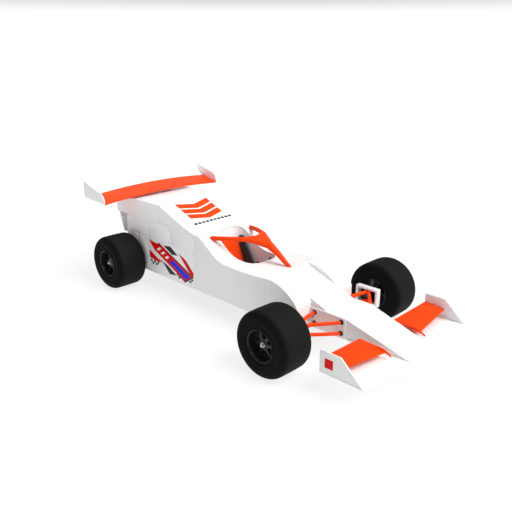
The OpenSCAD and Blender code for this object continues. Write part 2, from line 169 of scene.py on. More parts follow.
def blendColours(tree, factor, first, second):
    node = addNode(tree, "ShaderNodeMix", data_type="RGBA")
    for index, value in ((0, factor), (6, first), (7, second)):
        if isinstance(value, bpy.types.NodeSocket):
            tree.links.new(value, node.inputs[index])
        else:
            node.inputs[index].default_value = value if index == 0 else (*value, 1)
    return node.outputs[2]


def addBump(tree, shader, height, strength, depth):
    bump = addNode(tree, "ShaderNodeBump", {"Height": height, "Strength": strength, "Distance": depth})
    tree.links.new(bump.outputs["Normal"], shader.inputs["Normal"])


paintKeys = ("light", "dark", "film", "rough", "coat", "shine", "filmHeight")
paintSet = {
    "glossWhite": ((0.93, 0.93, 0.93), (0.9, 0.902, 0.9), (0.8, 0.79, 0.78), (0.3, 0.36), 0.25, 0.3,
                   (0.2, 0.3)),
    "satinInner": ((0.94, 0.94, 0.94), (0.91, 0.91, 0.912), (0.8, 0.8, 0.79),
                   (0.5, 0.65), 0, 0.4, (0.18, 0.28)),
    # grey standing in for the shade on the tail's recessed side: painted shade, the panel itself is white
    # like the body
    "recessGrey": ((0.6, 0.605, 0.61), (0.54, 0.545, 0.55), (0.5, 0.5, 0.49),
                   (0.5, 0.65), 0, 0.4, (0.18, 0.28)),
    "glossOrange": ((1.0, 0.062, 0.0), (0.93, 0.05, 0.0), (0.8, 0.07, 0.01),
                    (0.36, 0.5), 0, 0.16, (0.2, 0.28)),
    "redVinyl": ((0.8, 0.002, 0.002), (0.68, 0.002, 0.002), (0.5, 0.02, 0.02),
                 (0.4, 0.5), 0, 0.15, (0.1, 0.2)),
    "blueVinyl": ((0.01, 0.04, 0.85), (0.008, 0.03, 0.7), (0.05, 0.07, 0.4), (0.4, 0.5), 0, 0.15, (0.1, 0.2)),
    "blackVinyl": ((0.012, 0.012, 0.013), (0.006, 0.006, 0.007), (0.03, 0.03, 0.03), (0.35, 0.5), 0.1, 0.4,
                   (0.1, 0.2)),
}


def placeFrom(tree, output="Object"):
    return addNode(tree, "ShaderNodeTexCoord").outputs[output]


def noise(tree, place, scale, detail):
    node = addNode(tree, "ShaderNodeTexNoise", {"Vector": place, "Scale": scale, "Detail": detail})
    return node.outputs["Fac"]


def maths(tree, operation, *values):
    return addNode(tree, "ShaderNodeMath", dict(enumerate(values)), operation=operation).outputs["Value"]


def stretched(tree, place, scale):
    return addNode(tree, "ShaderNodeMapping", {"Vector": place, "Scale": scale}).outputs["Vector"]


def applyLook(tree, shader, colour, grain, rough):
    tree.links.new(colour, shader.inputs["Base Color"])
    tree.links.new(spread(tree, grain, *rough), shader.inputs["Roughness"])


# Sprayed paint or vinyl: cloudy tint, a thin road film low down, and a fine orange peel
def makePaint(name, look):
    material, tree, shader = startMaterial(name, {"Coat Weight": look["coat"], "Coat Roughness": 0.12,
                                                  "Specular IOR Level": look["shine"]})
    place = placeFrom(tree)
    grain = noise(tree, place, 38.0, 6.0)
    tint = colourRamp(tree, noise(tree, place, 2.2, 5.0), [(0.32, look["light"]), (0.68, look["dark"])])
    height = addNode(tree, "ShaderNodeSeparateXYZ", {"Vector": place}).outputs["Z"]
    film = maths(tree, "MULTIPLY", spread(tree, height, 0.5, 0.0, *look["filmHeight"]),
                 spread(tree, grain, 0.05, 0.9))
    applyLook(tree, shader, blendColours(tree, film, tint, look["film"]), grain, look["rough"])
    addBump(tree, shader, noise(tree, place, 420.0, 2.0), 0.02, 0.0002)
    return material


rubberSet = {"wall": (0.003, 0.003, 0.0033), "tread": (0.010, 0.010, 0.0104), "rough": (0.66, 0.84),
             "streak": (9.0, 700.0, 1.0), "edge": (0.125, 0.160)}


# Slick rubber: the tread is scuffed in streaks round the wheel, the walls are smoother
def makeRubber():
    material, tree, shader = startMaterial("slickRubber", {"Specular IOR Level": 0.10})
    place = placeFrom(tree, "UV")
    streak = noise(tree, stretched(tree, place, rubberSet["streak"]), 1.0, 5.0)
    grain = noise(tree, placeFrom(tree), 260.0, 4.0)
    across = addNode(tree, "ShaderNodeSeparateXYZ", {"Vector": place}).outputs["Y"]
    tread = spread(tree, maths(tree, "ABSOLUTE", across), 1.0, 0.0, *rubberSet["edge"])
    scuffed = maths(tree, "MULTIPLY", tread, spread(tree, streak, 0.45, 1.0))
    colour = blendColours(tree, scuffed, rubberSet["wall"], rubberSet["tread"])
    applyLook(tree, shader, colour, grain, rubberSet["rough"])
    addBump(tree, shader, maths(tree, "ADD", streak, grain), 0.25, 0.0006)
    return material


metalKeys = ("light", "dark", "rough", "metallic", "stretch", "scale", "bump")
metalSet = {
    "darkMetal": ((0.075, 0.075, 0.08), (0.045, 0.045, 0.05), (0.28, 0.46), 1.0, (1, 14, 1), 40.0, 0.12),
    "brightMetal": ((0.62, 0.62, 0.63), (0.48, 0.48, 0.5), (0.18, 0.34), 1.0, (1, 1, 10), 50.0, 0.12),
    "blackRimPaint": ((0.02, 0.02, 0.022), (0.011, 0.011, 0.012), (0.26, 0.42), 0.3, (1, 1, 1), 180.0, 0.05),
    "castMetal": ((0.3, 0.3, 0.31), (0.2, 0.2, 0.21), (0.5, 0.7), 0.9, (1, 1, 1), 220.0, 0.5),
    "discMetal": ((0.1, 0.1, 0.105), (0.06, 0.06, 0.062), (0.34, 0.5), 1.0, (1, 1, 1), 90.0, 0.12),
}


def makeMetal(name, look):
    material, tree, shader = startMaterial(name, {"Metallic": look["metallic"]})
    place = placeFrom(tree)
    grain = noise(tree, stretched(tree, place, look["stretch"]), look["scale"], 6.0)
    mixed = maths(tree, "MULTIPLY", grain, noise(tree, place, 9.0, 4.0))
    tint = colourRamp(tree, mixed, [(0.12, look["dark"]), (0.38, look["light"])])
    applyLook(tree, shader, tint, grain, look["rough"])
    addBump(tree, shader, grain, look["bump"], 0.0005)
    return material


weaveSet = {"composite": {"light": (0.035, 0.035, 0.037), "dark": (0.012, 0.012, 0.013), "scale": 42.0,
                          "rough": (0.32, 0.5), "coat": 0.3, "sheen": 0.0, "bump": 0.25},
            "fabric": {"light": (0.022, 0.022, 0.023), "dark": (0.008, 0.008, 0.009), "scale": 95.0,
                       "rough": (0.8, 0.95), "coat": 0.0, "sheen": 0.25, "bump": 0.8}}


# Two sets of waves at right angles make a weave, light where a yarn lies on top
def makeWeave(name, look):
    material, tree, shader = startMaterial(name, {"Coat Weight": look["coat"], "Sheen Weight": look["sheen"]})
    place = placeFrom(tree)
    settings = {"Vector": place, "Scale": look["scale"], "Distortion": 0.4}
    waves = [addNode(tree, "ShaderNodeTexWave", settings, bands_direction=way) for way in "XZ"]
    weave = maths(tree, "MAXIMUM", *[wave.outputs["Fac"] for wave in waves])
    fuzz = noise(tree, place, 30.0, 6.0)
    tint = colourRamp(tree, weave, [(0.3, look["dark"]), (0.9, look["light"])])
    worn = blendColours(tree, spread(tree, fuzz, 0.0, 0.35), tint, look["light"])
    applyLook(tree, shader, worn, fuzz, look["rough"])
    addBump(tree, shader, weave, look["bump"], 0.0006)
    return material


def makeLens():
    material, tree, shader = startMaterial("redLens", {"Roughness": 0.18, "Coat Weight": 0.6})
    settings = {"Vector": placeFrom(tree), "Scale": 26.0}
    ribs = addNode(tree, "ShaderNodeTexWave", settings, bands_direction="Y").outputs["Fac"]
    tint = colourRamp(tree, ribs, [(0.0, (0.32, 0.004, 0.004)), (1.0, (0.75, 0.015, 0.01))])
    tree.links.new(tint, shader.inputs["Base Color"])
    addBump(tree, shader, ribs, 0.5, 0.001)
    return material


# Mesh helpers

def mm(*values):
    return Vector([v * 0.001 for v in values]) if len(values) > 1 else values[0] * 0.001


def faceOut(bm):
    bmesh.ops.recalc_face_normals(bm, faces=bm.faces)


def weld(bm, dist):
    bmesh.ops.remove_doubles(bm, verts=bm.verts, dist=dist)


# The outer face of a node that lies along one side of the car
def sideFace(node, side):
    low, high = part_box(node)
    return high.y if side > 0 else low.y


# A corner, edge or middle of a CAD node's box: 0 low, 0.5 middle, 1 high on each axis
def anchor(node, x, y, z):
    low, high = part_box(node)
    return Vector([a + (b - a) * share for a, b, share in zip(low, high, (x, y, z))])


def camel(node):
    first, *rest = node.split("_")
    return first + "".join(word.capitalize() for word in rest)


def finishPiece(name, bm, slot, replaced=(), crease=30, body="chassis", material=None):
    bm.normal_update()
    for face in bm.faces:
        face.smooth = True
    for edge in bm.edges:
        edge.smooth = edge.is_manifold and edge.calc_face_angle(0) < math.radians(crease)
    mesh = bpy.data.meshes.new(name)
    bm.to_mesh(mesh)
    bm.free()
    mesh.materials.append(material or slotMaterials[slot])
    piece = addObject(name, mesh)
    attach(piece, body)
    if replaced:
        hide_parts(*replaced)
    return piece


def cadCopy(*nodes):
    bm = bmesh.new()
    for node in nodes:
        bm.from_mesh(frame["nodes"][node].data)
    weld(bm, 0.00002)
    faceOut(bm)
    bmesh.ops.dissolve_limit(bm, angle_limit=math.radians(0.6), verts=bm.verts, edges=bm.edges)
    return bm


def roundEdges(bm, width, segments=3, angle=28):
    sharp = [edge for edge in bm.edges if edge.is_manifold and edge.calc_face_angle(0) > math.radians(angle)]
    bmesh.ops.bevel(bm, geom=sharp, offset=width, offset_type="OFFSET", segments=segments, profile=0.5,
                    affect="EDGES", clamp_overlap=True, material=-1, loop_slide=True)
    weld(bm, 0.00002)


def aimed(start, end):
    way = end - start
    return Matrix.Translation((start + end) / 2) @ way.to_track_quat("Z", "Y").to_matrix().to_4x4()


def addTube(bm, start, end, radius, endRadius=None, segments=28, bevel=0.0):
    made = bmesh.ops.create_cone(bm, cap_ends=True, segments=segments, radius1=radius,
                                 radius2=radius if endRadius is None else endRadius,
                                 depth=(end - start).length, matrix=aimed(start, end))
    if bevel:
        rims = {edge for vert in made["verts"] for edge in vert.link_edges
                if any(len(face.verts) == segments for face in edge.link_faces)}
        bmesh.ops.bevel(bm, geom=list(rims), offset=bevel, segments=2, profile=0.5, affect="EDGES",
                        clamp_overlap=True, material=-1)
    return made["verts"]


def addBlock(bm, centre, size, bevel=0.003, segments=2, turn=None):
    verts = bmesh.ops.create_cube(bm, size=1.0)["verts"]
    bmesh.ops.scale(bm, vec=size, verts=verts)
    edges = list({edge for vert in verts for edge in vert.link_edges})
    if bevel:
        grown = bmesh.ops.bevel(bm, geom=edges, offset=bevel, segments=segments, profile=0.5, affect="EDGES",
                                clamp_overlap=True, material=-1)
        verts = list({vert for face in grown["faces"] for vert in face.verts})
    if turn is not None:
        bmesh.ops.transform(bm, matrix=turn, verts=verts)
    bmesh.ops.translate(bm, vec=centre, verts=verts)
    return verts


# A closed or open line of (radius, along) points spun round the Y or Z axis through the centre
def spinProfile(bm, points, centre, steps, side=1, closed=True, axis=(0, 1, 0)):
    places = [(radius, 0, along) if axis[2] else (0, side * along, radius) for radius, along in points]
    verts = [bm.verts.new(centre + Vector(place)) for place in places]
    pairs = list(zip(verts, verts[1:]))
    if closed:
        pairs.append((verts[-1], verts[0]))
    edges = [bm.edges.new(pair) for pair in pairs]
    bmesh.ops.spin(bm, geom=verts + edges, cent=centre, axis=axis, angle=math.tau, steps=steps,
                   use_merge=True)
    weld(bm, 0.00001)


# Joins a finished shape into another mesh
def addMesh(bm, shape, matrix):
    bmesh.ops.transform(shape, matrix=matrix, verts=shape.verts)
    mesh = bpy.data.meshes.new("shape")
    shape.to_mesh(mesh)
    shape.free()
    bm.from_mesh(mesh)
    bpy.data.meshes.remove(mesh)


def arcPoints(centre, radius, start, end, count):
    angles = [math.radians(start + (end - start) * i / count) for i in range(count + 1)]
    return [(centre[0] + radius * math.cos(a), centre[1] + radius * math.sin(a)) for a in angles]


def cubic(points, count):
    line = []
    for i in range(count + 1):
        t = i / count
        weights = ((1 - t) ** 3, 3 * t * (1 - t) ** 2, 3 * t * t * (1 - t), t ** 3)
        line.append(tuple(sum(w * p[k] for w, p in zip(weights, points)) for k in range(len(points[0]))))
    return line


# Grows a solid from section to section, each with the same number of points
def loft(bm, sections):
    cap = bm.faces.new([bm.verts.new(point) for point in sections[0]])
    for before, after in zip(sections, sections[1:]):
        grown = bmesh.ops.extrude_face_region(bm, geom=[cap])["geom"]
        cap = next(item for item in grown if isinstance(item, bmesh.types.BMFace))
        for vert in cap.verts:
            nearest = min(range(len(before)), key=lambda i: (before[i] - vert.co).length_squared)
            vert.co = after[nearest]
    faceOut(bm)


def plateFrom(bm, points, lift):
    cap = bm.faces.new([bm.verts.new(point) for point in points])
    grown = bmesh.ops.extrude_face_region(bm, geom=[cap])["geom"]
    bmesh.ops.translate(bm, vec=lift, verts=[item for item in grown if isinstance(item, bmesh.types.BMVert)])
    faceOut(bm)


placeCamera()
makeStudio()
print("camera, floor and light are ready")

whitePaint, innerPaint, shadeGreyPaint, orangePaint, redVinyl, blueVinyl, blackVinyl = (
    makePaint(name, dict(zip(paintKeys, row))) for name, row in paintSet.items())
darkMetal, brightMetal, rimPaint, castMetal, discMetal = (
    makeMetal(name, dict(zip(metalKeys, row))) for name, row in metalSet.items())
slotMaterials = {"white_paint": whitePaint, "inner_white": innerPaint, "orange_paint": orangePaint,
                 "dark_composite": makeWeave("darkComposite", weaveSet["composite"]),
                 "seat_fabric": makeWeave("seatFabric", weaveSet["fabric"]), "dark_metal": darkMetal,
                 "cast_grey": castMetal, "red_lens": makeLens(), "tyre_rubber": makeRubber(),
                 "black_rim": rimPaint}
bodyOf = {node: body for body, nodes in frame["record"]["behaviour"]["bodies"].items() for node in nodes}
slotOf = {part["node"]: part["material_slot"] for part in frame["record"]["subparts"]}
for node, slot in slotOf.items():
    mesh = frame["nodes"][node].data
    mesh.materials.clear()
    mesh.materials.append(slotMaterials[slot])
print("materials are ready")


# Body panels: the CAD panels with rounded edges

panelSet = {"mid_side_left": 4.5, "mid_side_right": 4.5, "cockpit_deck": 5, "front_cowl": 5, "hood": 3,
            "suspension_box": 4, "nose_cone": 5, "splitter": 4, "front_end_plates": 3, "engine_cover": 3,
            "rear_side_left": 4.5, "rear_side_right": 4.5, "rear_end_plates": 4, "rear_wing_pylons": 4,
            "upright_left": 5, "upright_right": 5, "tail_frame": 2.5, "cockpit_tub": 2.5}


# A CAD node with its edges rounded, and any details added to it
def makeRounded(node, suffix, width, segments=3, material=None, addDetails=None):
    bm = cadCopy(node)
    roundEdges(bm, mm(width), segments)
    if addDetails:
        addDetails(bm)
    finishPiece(camel(node) + suffix, bm, slotOf[node], (node,), 30, bodyOf[node], material)


for node, width in panelSet.items():
    # the tail frame takes the grey paint, painted shade for its recessed side
    makeRounded(node, "Panel", width, 3, shadeGreyPaint if node == "tail_frame" else None)
print("body panels are ready")


# Wheels

tyreSet = {"shoulder": 66, "crown": 1.5, "bead": 9, "steps": 128, "ribs": (176, 222)}


def tyreLine(radius, bore, half):
    shoulder, crown, bead = (mm(tyreSet[key]) for key in ("shoulder", "crown", "bead"))
    rimRib, wallRib = (mm(r) for r in tyreSet["ribs"])
    wall = [(bore, half - 0.014), (bore + 0.004, half - 0.009), (bore + bead, half - 0.007),
            (bore + 0.014, half - 0.010), (rimRib - 0.003, half - 0.0055), (rimRib, half - 0.0030),
            (rimRib + 0.003, half - 0.0045), (wallRib - 0.006, half - 0.0015), (wallRib - 0.003, half),
            (wallRib + 0.001, half), (wallRib + 0.004, half - 0.0012)]
    bend = arcPoints((radius - crown - shoulder, half - shoulder - 0.0008), shoulder, 90, 4, 14)
    top = [(radius - crown * 0.35, half - shoulder - 0.035), (radius, half * 0.35), (radius, 0.0)]
    outer = wall + bend + top
    return outer + [(r, -a) for r, a in reversed(outer[:-1])]


def addWheelUv(bm, centre):
    layer = bm.loops.layers.uv.new("wheel")
    for face in bm.faces:
        middle = face.calc_center_median() - centre
        base = math.atan2(middle.x, middle.z)
        for loop in face.loops:
            arm = loop.vert.co - centre
            turn = math.atan2(arm.x, arm.z)
            turn += math.tau * round((base - turn) / math.tau)
            loop[layer].uv = (turn * 0.3, arm.y)


rimSet = {"barrel": 9, "spokes": 6, "disc": 82, "hub": 38, "bore": 20.2, "steps": 96, "spoke": (34, 20, 26),
          "nut": (19, 16), "stud": (10.5, 12), "collar": (23.5, 4), "brake": (60, 118, 22)}


def makeWheel(name, side):
    low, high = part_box("tyre_" + name)
    rimLow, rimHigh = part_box("rim_" + name)
    centre = (low + high) / 2
    radius, half = (high.z - low.z) / 2, (high.y - low.y) / 2
    rimR, rimHalf = (rimHigh.z - rimLow.z) / 2, (rimHigh.y - rimLow.y) / 2
    body = "wheel_" + name

    def at(along, up=0.0):
        return centre + Vector((0, side * along, up))

    bm = bmesh.new()
    spinProfile(bm, tyreLine(radius, rimR + 0.0006, half), centre, tyreSet["steps"], side)
    faceOut(bm)
    addWheelUv(bm, centre)
    finishPiece(camel("tyre_" + name) + "Slick", bm, "tyre_rubber", ("tyre_" + name,), 55, body)
    # rim barrel with a rolled lip on each side
    bm = bmesh.new()
    disc = half - mm(rimSet["disc"])
    inner = rimR - mm(rimSet["barrel"])
    line = [(rimR, -rimHalf + 0.004), (rimR, rimHalf - 0.004), (rimR - 0.002, rimHalf - 0.001),
            (rimR - 0.005, rimHalf), (inner + 0.001, rimHalf - 0.002), (inner - 0.002, rimHalf - 0.006),
            (inner - 0.003, rimHalf - 0.014), (inner - 0.006, rimHalf - 0.022), (inner - 0.008, disc + 0.012),
            (inner - 0.008, disc - 0.014), (inner - 0.002, disc - 0.026), (inner, disc - 0.05),
            (inner, -rimHalf + 0.020), (inner + 0.002, -rimHalf + 0.003), (inner + 0.004, -rimHalf)]
    spinProfile(bm, line, centre, rimSet["steps"], side)
    hub, bore = mm(rimSet["hub"]), mm(rimSet["bore"])
    cap = disc + 0.026
    line = [(0, cap), (0.019, cap), (0.023, cap - 0.004), (hub - 0.004, cap - 0.007), (hub, cap - 0.011),
            (hub, disc - 0.058), (hub - 0.002, disc - 0.060), (bore, disc - 0.060), (bore, cap - 0.009),
            (0, cap - 0.009)]
    spinProfile(bm, line, centre, 64, side, False)
    width, thick, tip = (mm(v) for v in rimSet["spoke"])
    reach = (hub - 0.004, inner - 0.004)
    for i in range(rimSet["spokes"]):
        turn = Matrix.Rotation(math.tau * (i + 0.5) / rimSet["spokes"], 4, "Y")
        spoke = bmesh.new()
        bmesh.ops.create_cube(spoke, size=1.0)
        upright = [e for e in spoke.edges if abs((e.verts[0].co - e.verts[1].co).z) > 0.5]
        bmesh.ops.subdivide_edges(spoke, edges=upright, cuts=3)
        for vert in spoke.verts:
            share = vert.co.z + 0.5
            vert.co.x *= width + (tip - width) * share + 0.012 * (2 * share - 1) ** 4
            vert.co.y = side * (disc + vert.co.y * thick * side + 0.016 * (1 - share) ** 2 - 0.002)
            vert.co.z = reach[0] + (reach[1] - reach[0]) * share
        roundEdges(spoke, 0.004, 2, 45)
        addMesh(bm, spoke, Matrix.Translation(centre) @ turn)
    addTube(bm, at(disc + 0.02, inner - 0.010), at(disc + 0.05, inner - 0.016), 0.004, 0.003, 12)  # valve
    faceOut(bm)
    finishPiece(camel("rim_" + name) + "Spoked", bm, "black_rim", ("rim_" + name,), 34, body)
    # centre nut on its collar, with a threaded stud
    bm = bmesh.new()
    nutR, nutLong, studR, studLong, collarR, collarLong = (
        mm(v) for key in ("nut", "stud", "collar") for v in rimSet[key])
    base = cap + 0.0004
    addTube(bm, at(base), at(base + nutLong), nutR, None, 6)
    roundEdges(bm, 0.0018, 2)
    stud = base + nutLong - 0.0005
    addTube(bm, at(stud), at(stud + studLong), studR, None, 32, 0.0015)
    for pitch in range(4):
        thread = stud + 0.002 + 0.0022 * pitch
        addTube(bm, at(thread), at(thread + 0.0011), studR + 0.0007, None, 32)
    addTube(bm, at(base), at(base + collarLong), collarR, None, 48, 0.001)
    finishPiece(camel("wheel_nut_" + name), bm, "dark_metal", (), 30, body, brightMetal)
    # brake disc behind the spokes, with its bell on the hub
    bm = bmesh.new()
    bell, outer, thick = (mm(v) for v in rimSet["brake"])
    back = disc - 0.072
    line = [(hub + 0.001, disc - 0.040), (hub + 0.014, disc - 0.046), (bell - 0.004, back + 0.012),
            (bell, back), (outer - 0.001, back), (outer, back - 0.001), (outer, back - thick + 0.001),
            (outer - 0.001, back - thick), (bell - 0.006, back - thick), (bell - 0.010, back - 0.004),
            (hub + 0.008, disc - 0.054), (hub + 0.001, disc - 0.052)]
    spinProfile(bm, line, centre, 72, side)
    faceOut(bm)
    finishPiece(camel("brake_disc_" + name), bm, "dark_metal", (), 30, body, discMetal)


for end in ("front", "rear"):
    for sideName, sign in sides.items():
        makeWheel(end + "_" + sideName, sign)
print("wheels are ready")


# Wings

# inner and outer: rear edge, front edge, top, drop of the front edge
frontWingSet = {"inner": (-6, 268, 84, 30), "outer": (4, 212, 106, 20), "thick": 11, "stations": 12,
                "footWide": 13, "foot": [(120, 74), (200, 80), (245, 74), (285, 60), (312, 46), (326, 32),
                                         (319, 27), (296, 40), (262, 50), (225, 55), (180, 60)]}


def wingSection(y, rear, front, top, drop, thick, count=12):
    upper, lower = [], []
    for i in range(count + 1):
        share = i / count
        upper.append((rear + (front - rear) * share, top - drop * share ** 2.4))
    for i in range(count + 1):
        share = 1 - i / count
        body = thick * (0.35 + 1.05 * math.sin(math.pi * min(1, share * 1.02)) ** 0.8)
        body *= 1 if share < 0.97 else 0.55
        back = 0.002 * (share > 0.97)
        lower.append((rear + (front - rear) * share - back, top - drop * share ** 2.4 - body))
    nose = upper[-1]
    tip = [(nose[0] + thick * 0.22, nose[1] - thick * 0.30)]
    return [Vector((x, y, z)) for x, z in upper + tip + lower]


def makeFrontWing(sideName, side):
    node = "front_wing_" + sideName
    low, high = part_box(node)
    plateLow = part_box("front_end_plates")[0]
    near, far = (low.y, high.y) if side > 0 else (high.y, low.y)
    rear, count = plateLow.x, frontWingSet["stations"]
    base = (rear, rear, plateLow.z, 0)
    sections = []
    for i in range(count + 1):
        share = i / count
        ends = [start + mm(inner + (outer - inner) * share)
                for start, inner, outer in zip(base, frontWingSet["inner"], frontWingSet["outer"])]
        sections.append(wingSection(near + (far - near) * share, *ends, mm(frontWingSet["thick"])))
    bm = bmesh.new()
    loft(bm, sections)
    corner = Vector((rear, near + side * 0.0002, plateLow.z))
    plateFrom(bm, [corner + mm(x, 0, z) for x, z in frontWingSet["foot"]],
              mm(0, side * frontWingSet["footWide"], 0))
    roundEdges(bm, 0.0025, 3, 50)
    finishPiece(camel(node) + "Blade", bm, "orange_paint", (node,), 40)


for sideName, sign in sides.items():
    makeFrontWing(sideName, sign)

rearWingSet = {"mainThick": 20, "flapThick": 14, "stations": 40,
               "main": [(0, 5), (-70, 17), (-157, 33), (-247, 56)],
               "flap": [(-250, 57), (-317, 77), (-361, 153), (-392, 209)]}


def bladeSection(line, thick, roundFront):
    top = [Vector((x, 0, z)) for x, z in line]
    under = []
    for i, point in enumerate(top):
        way = (top[min(i + 1, len(top) - 1)] - top[max(i - 1, 0)]).normalized()
        under.append(point + Vector((way.z, 0, -way.x)) * -thick)
    nose = []
    if roundFront:  # a full nose at the front edge
        middle, reach = (top[0] + under[0]) / 2, (top[0] - under[0]).length / 2
        out = (top[0] - top[1]).normalized()
        shift = out * reach * -0.8
        nose = [middle + out * reach * 0.8 * math.sin(a) + (under[0] - middle) * math.cos(a) + shift
                for a in [math.pi * k / 8 for k in range(1, 8)]]
        top[0], under[0] = top[0] + shift, under[0] + shift
    return top + list(reversed(under)) + nose


def makeRearWing(node, line, thick, roundFront):
    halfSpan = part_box(node)[1].y
    plateLow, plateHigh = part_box("rear_end_plates")
    edge, bow = plateHigh.y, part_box("rear_wing_flap")[1].z - plateHigh.z
    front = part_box("rear_wing_main")[1].x
    points = [(front + x / 1000, plateLow.z + z / 1000) for x, z in cubic(line, 16)]
    outline = bladeSection(points, mm(thick), roundFront)
    count = rearWingSet["stations"]
    sections = []
    for i in range(count + 1):
        y = -halfSpan + 2 * halfSpan * i / count
        rise = bow * (1 - (y / edge) ** 2)
        sections.append([point + Vector((0, y, rise)) for point in outline])
    bm = bmesh.new()
    loft(bm, sections)
    roundEdges(bm, 0.002, 2, 50)
    finishPiece(camel(node) + "Blade", bm, slotOf[node], (node,), 40)


makeRearWing("rear_wing_main", rearWingSet["main"], rearWingSet["mainThick"], True)
makeRearWing("rear_wing_flap", rearWingSet["flap"], rearWingSet["flapThick"], False)
print("wings are ready")


# Halo: overlapping bars and a web are fused into one smooth casting

haloSet = {"arm": [(-880, 287, -64, 17), (-864, 282, -55, 25), (-774, 254, -46, 25), (-674, 213, -37, 25),
                   (-568, 160, -28, 26), (-508, 124, -25, 27), (-454, 92, -31, 28), (-398, 58, -43, 32),
                   (-350, 28, -58, 37)],
           "pillar": [(-364, 0, -47, 40), (-324, 0, -60, 44), (-284, 0, -78, 41), (-234, 0, -104, 35),
                      (-184, 0, -131, 30), (-134, 0, -164, 27), (-74, 0, -203, 23), (-20, 0, -238, 20)],
           "web": [(-502, 0), (-516, 45), (-548, 112), (-484, 112), (-398, 62), (-334, 0)],
           "webHeight": (-58, -2), "voxel": 5, "smooth": 20}


def evaluated(holder):
    return bpy.data.meshes.new_from_object(holder.evaluated_get(bpy.context.evaluated_depsgraph_get()))


def fusedMesh(bm, voxel, repeats):
    rough = bpy.data.meshes.new("rough")
    bm.to_mesh(rough)
    bm.free()
    holder = addObject("rough", rough)
    remesh = holder.modifiers.new("fuse", "REMESH")
    remesh.mode = "VOXEL"
    remesh.voxel_size = voxel
    relax = holder.modifiers.new("relax", "SMOOTH")
    relax.factor = 0.5
    relax.iterations = repeats
    bpy.context.view_layer.update()
    made = evaluated(holder)
    result = bmesh.new()
    result.from_mesh(made)
    bpy.data.objects.remove(holder)
    bpy.data.meshes.remove(rough)
    bpy.data.meshes.remove(made)
    return result


def makeHalo():
    bm = bmesh.new()
    peak = anchor("halo", 1, 0.5, 1)

    def addRun(points, side):
        run = [(peak + mm(x, side * y, z), r / 1000) for x, y, z, r in points]
        for (start, r1), (end, r2) in zip(run, run[1:]):
            addTube(bm, start, end, r1, r2, 24)
        for place, r in run:
            bmesh.ops.create_icosphere(bm, subdivisions=3, radius=r * 0.995, matrix=Matrix.Translation(place))

    for side in (1, -1):
        addRun(haloSet["arm"], side)
    addRun(haloSet["pillar"], 1)
    low, high = haloSet["webHeight"]
    outline = haloSet["web"]
    points = outline + [(x, -y) for x, y in reversed(outline[1:-1])]
    plateFrom(bm, [peak + mm(x, y, low) for x, y in points], mm(0, 0, high - low))
    bm = fusedMesh(bm, mm(haloSet["voxel"]), haloSet["smooth"])
    finishPiece("haloHoop", bm, "orange_paint", ("halo",), 60)


makeHalo()
print("halo is ready")


# Cockpit

seatSet = {"half": 147, "wrap": 22, "thick": 7, "across": 10,
           "pan": [(486, 20), (216, 20), (146, 46), (134, 124)],
           "back": [(122, 164), (100, 231), (76, 298), (52, 365), (28, 432), (9, 482)]}


def makeSeatShell():
    base = anchor("seat_shell", 0, 0.5, 0)
    line = cubic(seatSet["pan"], 8) + seatSet["back"]
    half, wrap, across = seatSet["half"], seatSet["wrap"], seatSet["across"]
    bm = bmesh.new()
    rows = []
    for i, (x, z) in enumerate(line):
        before, after = line[max(i - 1, 0)], line[min(i + 1, len(line) - 1)]
        way = Vector((after[0] - before[0], 0, after[1] - before[1])).normalized()
        out = Vector((way.z, 0, -way.x))
        share = max(0.0, (z - 384) / 100)
        reach = half - 46 * share ** 2
        row = []
        for k in range(across + 1):
            y = -reach + 2 * reach * k / across
            raised = wrap * abs(y / half) ** 3
            row.append(bm.verts.new(base + mm(x + out.x * raised, y, z + out.z * raised)))
        rows.append(row)
    for first, second in zip(rows, rows[1:]):
        for k in range(across):
            bm.faces.new((first[k], first[k + 1], second[k + 1], second[k]))
    faceOut(bm)
    bmesh.ops.solidify(bm, geom=bm.faces[:], thickness=seatSet["thick"] / 1000)
    faceOut(bm)
    piece = finishPiece("seatShellBucket", bm, "orange_paint", ("seat_shell",), 50)
    smooth = piece.modifiers.new("smooth", "SUBSURF")
    smooth.levels = smooth.render_levels = 2


padSet = {"seat_cushion": {"voxel": 6, "shrink": 7, "push": 4.0, "cap": 12, "fill": 0.6},
          "seat_bolsters": {"voxel": 7, "shrink": 5, "push": 4.0, "cap": 7, "fill": 0.8}}


# A pad: the CAD solid a little smaller, remeshed, blown up as cloth, then subdivided once
def makePad(node, look):
    bm = cadCopy(node)
    for island in looseParts(bm):
        for axis in range(3):
            low, high = (pick(vert.co[axis] for vert in island) for pick in (min, max))
            middle, share = (low + high) / 2, max(0.3, 1 - 2 * mm(look["shrink"]) / (high - low))
            for vert in island:
                vert.co[axis] = middle + (vert.co[axis] - middle) * share
    bm = fusedMesh(bm, mm(look["voxel"]), 4)
    piece = finishPiece(camel(node) + "Pad", bm, "seat_fabric", (node,), 180)
    blowUp(piece, look)
    smooth = piece.modifiers.new("smooth", "SUBSURF")
    smooth.levels = smooth.render_levels = 1


def blowUp(piece, look):
    mesh = piece.data
    start = [vert.co.copy() for vert in mesh.vertices]
    cloth = piece.modifiers.new("cloth", "CLOTH")
    cloth.settings.use_pressure = True
    cloth.settings.uniform_pressure_force = look["push"]
    cloth.settings.effector_weights.gravity = 0
    cloth.settings.quality = 4
    cloth.collision_settings.use_collision = False
    cloth.point_cache.frame_start, cloth.point_cache.frame_end = 1, 20
    for number in range(1, 21):
        scene.frame_set(number)
    blown = evaluated(piece)
    piece.modifiers.clear()
    for vert, place, moved in zip(mesh.vertices, start, blown.vertices):
        step = moved.co - place
        vert.co = place + (step if step.length < mm(look["cap"]) else step.normalized() * mm(look["cap"]))
    bpy.data.meshes.remove(blown)
    scene.frame_set(1)


